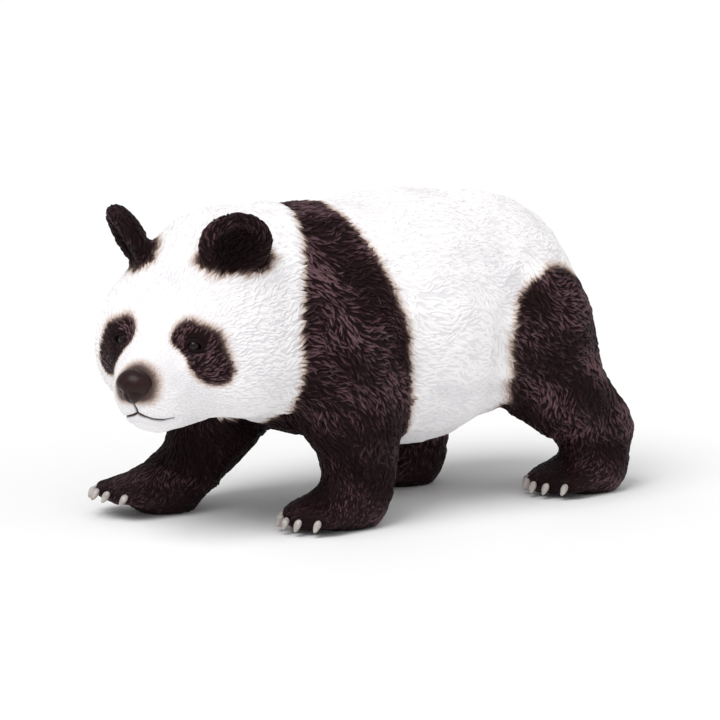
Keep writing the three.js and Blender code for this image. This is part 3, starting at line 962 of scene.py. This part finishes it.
def arches(rings, facing, width, height):
    """The points of the strokes, and how much dry brush and painted light each one carries, from painted shade at 0
    to painted highlight.
    """
    count = len(width)
    vertices, brush_and_light = [], []
    for number, (share, wide, rise) in enumerate(zip(STATIONS, WIDTHS, RISES)):
        before, after = rings[max(number - 1, 0)], rings[min(number + 1, len(rings) - 1)]
        across = unit(np.cross(facing[number], after - before))
        if wide == 0:
            vertices.append(rings[number] + facing[number] * (rise * height)[:, None])
            brush_and_light.append(np.full(count, 0.0 if share == 0 else 0.5))
            continue
        for place, level in SIDES:
            rises = rise * height if level > 0 else np.full(count, -SUNK)
            out = across * (place * wide * width)[:, None]
            vertices.append(rings[number] + out + facing[number] * rises[:, None])
            # one high side of each stroke is painted lighter than the other, a painted highlight as if lit from that
            # side; higher points carry more dry brush and painted highlight, and the sunk points carry the painted
            # shade of the groove
            highlight_and_brush = (1.0 if place < 0 else 0.55) * (0.25 + 0.75 * rise)
            brush_and_light.append(np.full(count, highlight_and_brush if level > 0 else 0.0))
    vertices = np.stack(vertices, axis=1)
    vertices[:, :, 2] = np.maximum(vertices[:, :, 2], 0.0)
    return vertices, np.stack(brush_and_light, axis=1)


def stroke_faces():
    """The faces of one stroke: a fan at its root, bands of four along it and a fan at its point."""
    faces = [(0, 1 + k, 1 + (k + 1) % 4) for k in range(4)]
    for band in range(len(STATIONS) - 3):
        a, b = 1 + 4 * band, 5 + 4 * band
        faces += [(a + k, b + k, b + (k + 1) % 4, a + (k + 1) % 4) for k in range(4)]
    tip = 1 + 4 * (len(STATIONS) - 2)
    faces += [(tip - 4 + k, tip, tip - 4 + (k + 1) % 4) for k in range(4)]
    return faces


print("faces of a stroke:", len(stroke_faces()))

# %% [markdown]
# The strokes of a part are joined into one mesh from their arrays of points. The markings under each point are
# stored on it as attributes, and each stroke gets its small patch on the coat's map.

# %% Join, paint and map the strokes
UV_PATCH = 0.003

tree_of_points = tree_of(points)


def join_strokes(name, vertices):
    """One object from the points of all strokes, and the point at each corner of its faces."""
    count, per = vertices.shape[:2]
    corner = np.concatenate([np.array(f) for f in stroke_faces()])
    loops = (corner[None, :] + np.arange(count)[:, None] * per).ravel()
    totals = np.tile([len(f) for f in stroke_faces()], count)
    mesh = bpy.data.meshes.new(name)
    mesh.vertices.add(count * per)
    mesh.vertices.foreach_set("co", (vertices.reshape(-1) * MM))
    mesh.loops.add(len(loops))
    mesh.loops.foreach_set("vertex_index", loops)
    mesh.polygons.add(len(totals))
    mesh.polygons.foreach_set("loop_start", np.concatenate([[0], np.cumsum(totals)[:-1]]))
    mesh.update(calc_edges=True)
    return new_object(name, mesh), loops


def map_strokes(piece, spots, loops):
    """Lays each stroke as a small patch at the place of its root on the coat's map."""
    place = np.array([place_on_map(p) for p in spots])
    along = np.concatenate([[0.0], np.repeat(STATIONS[1:-1], 4), [1.0]])
    over = np.concatenate([[0.5], np.tile([0.0, 0.33, 0.66, 1.0], len(STATIONS) - 2), [0.5]])
    patch_uv = np.stack([along, over], axis=1) * UV_PATCH
    uv = np.clip(place[:, None, :], 0, 1 - UV_PATCH) + patch_uv[None, :, :]
    layer = piece.data.uv_layers.new(name="OFBake")
    layer.data.foreach_set("uv", uv.reshape(-1, 2)[loops].ravel())


def add_paint(piece, dark_value, brush_and_light_value, tone_value, line_value=None):
    """Stores the markings of a piece for its material."""
    values = {"dark": dark_value, "brush_and_light": brush_and_light_value, "tone": tone_value}
    values["line"] = line_value if line_value is not None else np.zeros(len(dark_value))
    for key, value in values.items():
        attribute = piece.data.attributes.new(key, "FLOAT", "POINT")
        attribute.data.foreach_set("value", np.asarray(value, dtype=np.float32))


# the skin between the strokes gets a low value, which paints it a little into the painted shade of the grooves
add_paint(skin, dark, np.full(len(points), 0.25), np.full(len(points), 0.5), line)
smooth(skin)
print("stored on the skin:", [a.name for a in skin.data.attributes if a.data_type == "FLOAT"])

# %% [markdown]
# A part of the coat is grown from its roots. Chance turns, sizes and bends each stroke a little, always from the
# same seed. The coat is kept in ten parts, so that none of them grows too heavy.

# %% Grow the coat in parts
TURN = radians(13)
WIDTH, WIDER = 0.16, 0.075
BEND, CURL = 0.2, 0.22
BACK_TO_ROOT = 0.25


def grow(name, chosen, seed):
    """One closed mesh with all the strokes whose roots are chosen."""
    rng = np.random.default_rng(seed)
    count = len(chosen)
    spots, own = roots[chosen], owner[chosen]
    normal, direction = normals[own], lie[own]
    angle = rng.normal(0, TURN, count)[:, None]
    direction = direction * np.cos(angle) + np.cross(normal, direction) * np.sin(angle)
    side = np.cross(normal, direction)
    length = length_at[own] * rng.uniform(0.75, 1.25, count)
    width = (WIDTH + WIDER * length) * rng.uniform(0.75, 1.3, count)
    height = height_at[own] * rng.uniform(0.6, 1.25, count)
    bend = rng.normal(0, BEND, count) + CURL * curl[own]
    paths = [spots + direction * (length * s)[:, None] + side * (length * bend * s * s)[:, None] for s in STATIONS]
    rings, facing = zip(*(lay(path) for path in paths))
    facing = soften_stations(soften_stations(facing))
    vertices, brush_and_light = arches(rings, facing, width, height)
    piece, loops = join_strokes(name, vertices)

    # the markings are read a little back towards the root, as paint on a stroke follows it
    read_at = (vertices * (1 - BACK_TO_ROOT) + spots[:, None, :] * BACK_TO_ROOT).reshape(-1, 3)
    under = np.array([tree_of_points.find(p)[1] for p in read_at])
    # the dry brush and painted highlight of each point, turned down where painted shade lies on the lower body, the
    # far leg and the ear hollows
    lit_and_brushed = brush_and_light.ravel() * brush_and_shade[under] * (1 - 0.8 * ear_hollow_shade[under])
    add_paint(piece, dark[under], lit_and_brushed, np.repeat(rng.random(count), vertices.shape[1]))
    map_strokes(piece, spots, loops)
    smooth(piece)
    print(name, "strokes:", count, "triangles:", count * sum(len(f) - 2 for f in stroke_faces()))
    return piece


def roots_of(*starts):
    """The roots that grow on the nodes whose names start so."""
    return np.flatnonzero(belongs(*starts)[owner])


MIDDLE_Y = points[belongs("trunk")][:, 1].mean()
head_roots = roots_of("head")
on_left = to_head(roots[head_roots])[:, 0] > 0
trunk_roots = roots_of("trunk", "tail")
in_front = roots[trunk_roots][:, 1] < MIDDLE_Y
coat = [
    grow("coat_head_left", head_roots[on_left], 21),
    grow("coat_head_right", head_roots[~on_left], 22),
    grow("coat_ears", roots_of("ear"), 23),
    grow("coat_neck", roots_of("neck"), 24),
    grow("coat_trunk_front", trunk_roots[in_front], 25),
    grow("coat_trunk_back", trunk_roots[~in_front], 26),
]
for number, leg in enumerate(LEGS):
    coat.append(grow("coat_leg_" + leg, roots_of("leg_" + leg, "paw_" + leg), 31 + number))
bpy.data.objects.remove(coarse)

# %% [markdown]
# ## The paint
#
# Every material below is made from shader nodes, so nothing is painted by hand or read from a picture. Four
# helpers keep that short: one starts a material, one makes a colour ramp from its stops, one gives fine noise in
# object space, and the last makes a plain paint of two close colours that the noise mixes.

# %% Helpers for materials
def new_material(name):
    """A material, its shader, a function that adds a node, and one that sets or links an input."""
    material = bpy.data.materials.new(name)
    material.use_nodes = True
    tree = material.node_tree

    def put(node, key, value):
        if isinstance(value, bpy.types.NodeSocket):
            tree.links.new(value, node.inputs[key])
        else:
            node.inputs[key].default_value = value

    def add(kind, inputs=(), **settings):
        node = tree.nodes.new("ShaderNode" + kind)
        for key, value in settings.items():
            setattr(node, key, value)
        for key, value in dict(inputs).items():
            put(node, key, value)
        return node

    return material, tree.nodes["Principled BSDF"], add, put


def ramp(add, value, stops):
    """The colour that a ramp of (place, colour) pairs gives for a value."""
    node = add("ValToRGB", {"Fac": value})
    elements = node.color_ramp.elements
    while len(elements) > 1:
        elements.remove(elements[-1])
    elements[0].position, elements[0].color = stops[0][0], (*stops[0][1], 1)
    for place, colour in stops[1:]:
        elements.new(place).color = (*colour, 1)
    return node.outputs["Color"]


def noise_of(add, scale, detail=2.0):
    """Fine noise in object space."""
    place = add("TexCoord").outputs["Object"]
    return add("TexNoise", {"Vector": place, "Scale": scale, "Detail": detail}).outputs["Fac"]


def plain_paint(name, colours, noise, **settings):
    """A paint whose colour wanders a little; settings are inputs of its shader."""
    material, shader, add, put = new_material(name)
    speckle = noise_of(add, *noise)
    put(shader, "Base Color", ramp(add, speckle, [(0.3, colours[0]), (0.7, colours[1])]))
    for key, value in settings.items():
        put(shader, key.replace("_", " "), value)
    return material, shader, add, put, speckle


print("shader nodes are ready to use")

# %% [markdown]
# One procedural material serves the skin and the coat. White and dark fur have a ramp each: painted shade darkens
# the grooves, and the crests are lighter, from the dry brush on the dark fur and from a painted highlight on both. A
# third ramp follows the airbrush from white through tan to brown, and tints the white before the dark takes over.
# All colours are linear values of red, green and blue.

# %% Colours of the fur
# the groove colours are painted shade; the white crest colour is a painted highlight, and the dark crest colour is
# the dry-brush paint with a painted highlight
WHITE_GROOVE_SHADE = (0.66, 0.64, 0.675)
WHITE_BASE = (0.88, 0.862, 0.872)
WHITE_CREST_HIGHLIGHT = (0.955, 0.942, 0.946)
TAN = (0.70, 0.60, 0.54)
BROWN = (0.20, 0.135, 0.11)
DARK_GROOVE_SHADE = (0.0026, 0.0007, 0.0009)
DARK_BASE = (0.0165, 0.0055, 0.0068)
DARK_CREST_BRUSH_AND_HIGHLIGHT = (0.132, 0.074, 0.085)
PATCH_RIM = (0.02, 0.012, 0.011)
LIP_LINE = (0.05, 0.028, 0.022, 1)
LOWEST_TONE, TONE_RANGE = 0.55, 0.55
DARK_FROM, DARK_TO = 0.45, 0.95

paint, shader, add, put = new_material("painted_fur")
markings = {}
for name in ("dark", "brush_and_light", "tone", "line"):
    markings[name] = add("Attribute", attribute_name=name).outputs["Fac"]


def mix(factor, first, second, **settings):
    """The mix of two colours."""
    inputs = {"Factor": factor, "A": first, "B": second}
    return add("Mix", inputs, data_type="RGBA", **settings).outputs["Result"]


# each ramp runs from painted shade in the grooves to the crests, which carry the dry brush and a painted highlight
white_fur = ramp(add, markings["brush_and_light"], [(0.0, WHITE_GROOVE_SHADE), (0.4, WHITE_BASE), (1.0, WHITE_CREST_HIGHLIGHT)])
lift = add("Math", {0: markings["tone"], 1: TONE_RANGE, 2: LOWEST_TONE}, operation="MULTIPLY_ADD")
dry_brush_and_light = add("Math", {0: markings["brush_and_light"], 1: lift.outputs[0]}, operation="MULTIPLY")
dark_fur = ramp(add, dry_brush_and_light.outputs[0], [(0.0, DARK_GROOVE_SHADE), (0.45, DARK_BASE), (1.0, DARK_CREST_BRUSH_AND_HIGHLIGHT)])
edge = ramp(add, markings["dark"], [(0.0, (1, 1, 1)), (0.3, TAN), (0.65, BROWN), (1.0, PATCH_RIM)])
to_dark = add("MapRange", {"From Min": DARK_FROM, "From Max": DARK_TO, "Value": markings["dark"]})
rimmed = mix(1.0, white_fur, edge, blend_type="MULTIPLY")
fur = mix(to_dark.outputs["Result"], rimmed, dark_fur)
put(shader, "Base Color", mix(markings["line"], fur, LIP_LINE))
print("nodes of the fur paint:", len(paint.node_tree.nodes))

# %% [markdown]
# The paint is nearly matt. Fine noise in object space makes the roughness vary a little, as a satin varnish does,
# and gives the surface the faint grain of moulded vinyl.

# %% Grain of the fur paint
FUR_SPECULAR = 0.08
SMOOTHEST, ROUGHEST = 0.42, 0.58

grain = noise_of(add, 900.0, 3.0)
rough = add("MapRange", {"To Min": SMOOTHEST, "To Max": ROUGHEST, "Value": grain})
bump = add("Bump", {"Strength": 0.25, "Distance": 0.05 * MM, "Height": grain})
put(shader, "Specular IOR Level", FUR_SPECULAR)
put(shader, "Roughness", rough.outputs["Result"])
put(shader, "Normal", bump.outputs["Normal"])
for piece in [skin, *coat]:
    piece.data.materials.clear()
    piece.data.materials.append(paint)
print("painted pieces:", 1 + len(coat))

# %% [markdown]
# ## Eyes, nose and claws
#
# The eyes are small balls with a thick gloss varnish. A round ball is what they are, so a sphere is pressed a
# little flatter along the gaze and turned so that its pole looks out between the lids.

# %% Eyes
EYE_RADIUS = 1.02
EYE_FLATTER = 0.94
EYE_DARKEST, EYE_LIGHTEST = (0.004, 0.003, 0.003), (0.012, 0.007, 0.005)

eye_paint, *_ = plain_paint(
    "glossy_eye", (EYE_DARKEST, EYE_LIGHTEST), (1500.0,),
    Roughness=0.18, Specular_IOR_Level=0.18, Coat_Weight=0.1, Coat_Roughness=0.08,
)
for side, sign in (("left", 1), ("right", -1)):
    bpy.ops.object.select_all(action="DESELECT")
    bpy.ops.mesh.primitive_uv_sphere_add(segments=32, ring_count=20, radius=EYE_RADIUS * MM)
    eye = bpy.context.object
    eye.name = "eyeball_" + side
    gaze = (GAZE * [sign, 1, 1]) @ HEAD_AXES
    at = from_head(EYE_IN_HEAD * [sign, 1, 1]) + gaze * 0.02
    bpy.ops.object.mode_set(mode="EDIT")
    bpy.ops.mesh.select_all(action="SELECT")
    bpy.ops.transform.resize(value=(1, 1, EYE_FLATTER))
    bpy.ops.object.mode_set(mode="OBJECT")
    eye.rotation_mode = "QUATERNION"
    eye.rotation_quaternion = Vector(gaze).to_track_quat("Z", "Y")
    eye.location = Vector(at) * MM
    bpy.ops.object.transform_apply(location=True, rotation=True, scale=True)
    bpy.ops.object.shade_smooth()
    eye.data.materials.append(eye_paint)
    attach(eye, "root")
    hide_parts("eye_" + side)
    print(eye.name, "at", at.round(2))

# %% [markdown]
# The nose is a broad soft pad, wider at the top than at the bottom, with a comma-shaped nostril on each side. A
# subdivided cube gives even quads without a pole, and its points are moved to that outline and pressed in at the
# nostrils.

# %% Nose
NOSTRIL_AT = (1.35, -1.9, -0.8)
NOSTRIL_SIZE = (0.62, 1.3, 0.42)
NOSTRIL_DEPTH = 0.45
CLEFT_WIDTH, CLEFT_DEPTH = 0.28, 0.25
NOSE_DARKEST, NOSE_LIGHTEST = (0.013, 0.003, 0.003), (0.026, 0.009, 0.009)

bpy.ops.object.select_all(action="DESELECT")
bpy.ops.mesh.primitive_cube_add(size=2 * MM)
nose = bpy.context.object
nose.name = "nose_pad"
apply_modifier(nose, "SUBSURF", levels=5, render_levels=5)
shape = unit(points_of(nose))
low_part = fade(shape[:, 2], 0.2, -1.0)
shape[:, 0] *= 1 - 0.34 * low_part
shape[:, 2] = np.where(shape[:, 2] > 0, shape[:, 2] * 0.86, shape[:, 2])
pad = shape * NOSE_SIZE
for sign in (1, -1):
    hole = (pad - np.multiply(NOSTRIL_AT, [sign, 1, 1])) / NOSTRIL_SIZE
    pad[:, 1] += NOSTRIL_DEPTH * np.exp(-np.sum(hole**2, axis=1)) * (pad[:, 1] < 0)
cleft = np.exp(-((pad[:, 0] / CLEFT_WIDTH) ** 2)) * fade(pad[:, 2], 0.0, -1.6) * (pad[:, 1] < 0)
pad[:, 1] += CLEFT_DEPTH * cleft
set_points(nose, from_head(pad + NOSE_AT))
smooth(nose)
nose_paint, shader, add, put, speckle = plain_paint(
    "nose_paint", (NOSE_DARKEST, NOSE_LIGHTEST), (1400.0, 4.0), Roughness=0.36, Specular_IOR_Level=0.2
)
nose_bump = add("Bump", {"Strength": 0.35, "Distance": 0.06 * MM, "Height": speckle})
put(shader, "Normal", nose_bump.outputs["Normal"])
nose.data.materials.append(nose_paint)
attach(nose, "root")
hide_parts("nose")
print("nose points:", len(nose.data.vertices))

# %% [markdown]
# The claws are short and blunt, and each is a dab of pale grey paint on a pointed bump. One claw is modelled from
# a ball, tapered towards its tip and bent inwards, and then copied to the place and direction of each claw in the
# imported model.

# %% Claws
CLAW_SIZE = (0.74, 0.78, 1.02)
CLAW_BEND = 0.25
CLAW_BACK, CLAW_UP = 0.25, 0.25
CLAW_DARKEST, CLAW_LIGHTEST = (0.30, 0.26, 0.24), (0.52, 0.475, 0.45)

claw_paint, *_ = plain_paint("claw_paint", (CLAW_DARKEST, CLAW_LIGHTEST), (1100.0,), Roughness=0.4)

bpy.ops.object.select_all(action="DESELECT")
bpy.ops.mesh.primitive_uv_sphere_add(segments=16, ring_count=12, radius=1 * MM)
claw_model = bpy.context.object
claw_model.name = "claw_model"
shape = points_of(claw_model)
taper = fade(shape[:, 2], -1.0, 1.0)
shape[:, 0] *= 0.96 - 0.22 * taper
shape[:, 1] *= 0.80 - 0.25 * taper
shape[:, 1] += CLAW_BEND * taper**2
claw_shape = shape * CLAW_SIZE

for node in sorted(n for n in frame["nodes"] if n.startswith("claw")):
    mesh = frame["nodes"][node].data
    own = np.array([v.co for v in mesh.vertices]) / MM
    centre = own.mean(axis=0)
    # the long way of the node, pointing down to the claw's tip
    ahead = np.linalg.svd(own - centre, full_matrices=False)[2][0]
    ahead *= -np.sign(ahead[2])
    across = unit(np.cross(ahead, [0, 0, 1.0]))
    inward = np.cross(ahead, across)
    axes = np.array([across, inward, ahead])
    claw = new_object(node + "_painted", claw_model.data.copy())
    set_points(claw, claw_shape @ axes + centre - ahead * CLAW_BACK + [0, 0, CLAW_UP])
    smooth(claw)
    claw.data.materials.append(claw_paint)
    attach(claw, "root")
    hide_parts(node)
bpy.data.objects.remove(claw_model)
print("points of a claw:", len(claw_shape))

# %% [markdown]
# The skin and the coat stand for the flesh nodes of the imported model, which stay hidden for the collisions. They
# all ride on the one body of this still figure.

# %% What stands for what
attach(skin, "root")
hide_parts(*FLESH)
for piece in coat:
    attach(piece, "root")

# %% [markdown]
# ## Floor and light
#
# A studio shot on white: a pale floor, a large soft light above and to the front, a weaker one from the side,
# and an even pale surround that fills the shadows.

# %% Floor
bpy.ops.object.select_all(action="DESELECT")
bpy.ops.mesh.primitive_plane_add(size=8)
floor = bpy.context.object
floor.name = "floor"
floor_paint, shader, add, put = new_material("pale_floor")
put(shader, "Base Color", (0.96, 0.96, 0.96, 1))
put(shader, "Roughness", 0.7)
floor.data.materials.append(floor_paint)
floor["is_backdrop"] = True

# %% Lights
def soft_light(name, azimuth, elevation, strength, spread):
    """A distant light with soft shadows that shines on the figure from one side."""
    a, e = radians(azimuth), radians(elevation)
    way = Vector((sin(a) * cos(e), -cos(a) * cos(e), sin(e)))
    bpy.ops.object.light_add(type="SUN", location=FIGURE_MIDDLE + way)
    light = bpy.context.object
    light.name = name
    light.data.energy = strength
    light.data.angle = radians(spread)
    light.rotation_euler = (-way).to_track_quat("-Z", "Y").to_euler()
    return light


soft_light("key_light", 20, 55, 2.1, 40)
soft_light("fill_light", 110, 35, 0.5, 80)

world = bpy.data.worlds.new("studio")
bpy.context.scene.world = world
world.use_nodes = True
world.node_tree.nodes["Background"].inputs["Color"].default_value = (1, 1, 1, 1)
world.node_tree.nodes["Background"].inputs["Strength"].default_value = 0.47
bpy.context.scene.view_settings.view_transform = "Standard"

# %% Sizes and finish
low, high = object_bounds()
print("visual model, mm:", [round(v / MM, 2) for v in (*low, *high)])
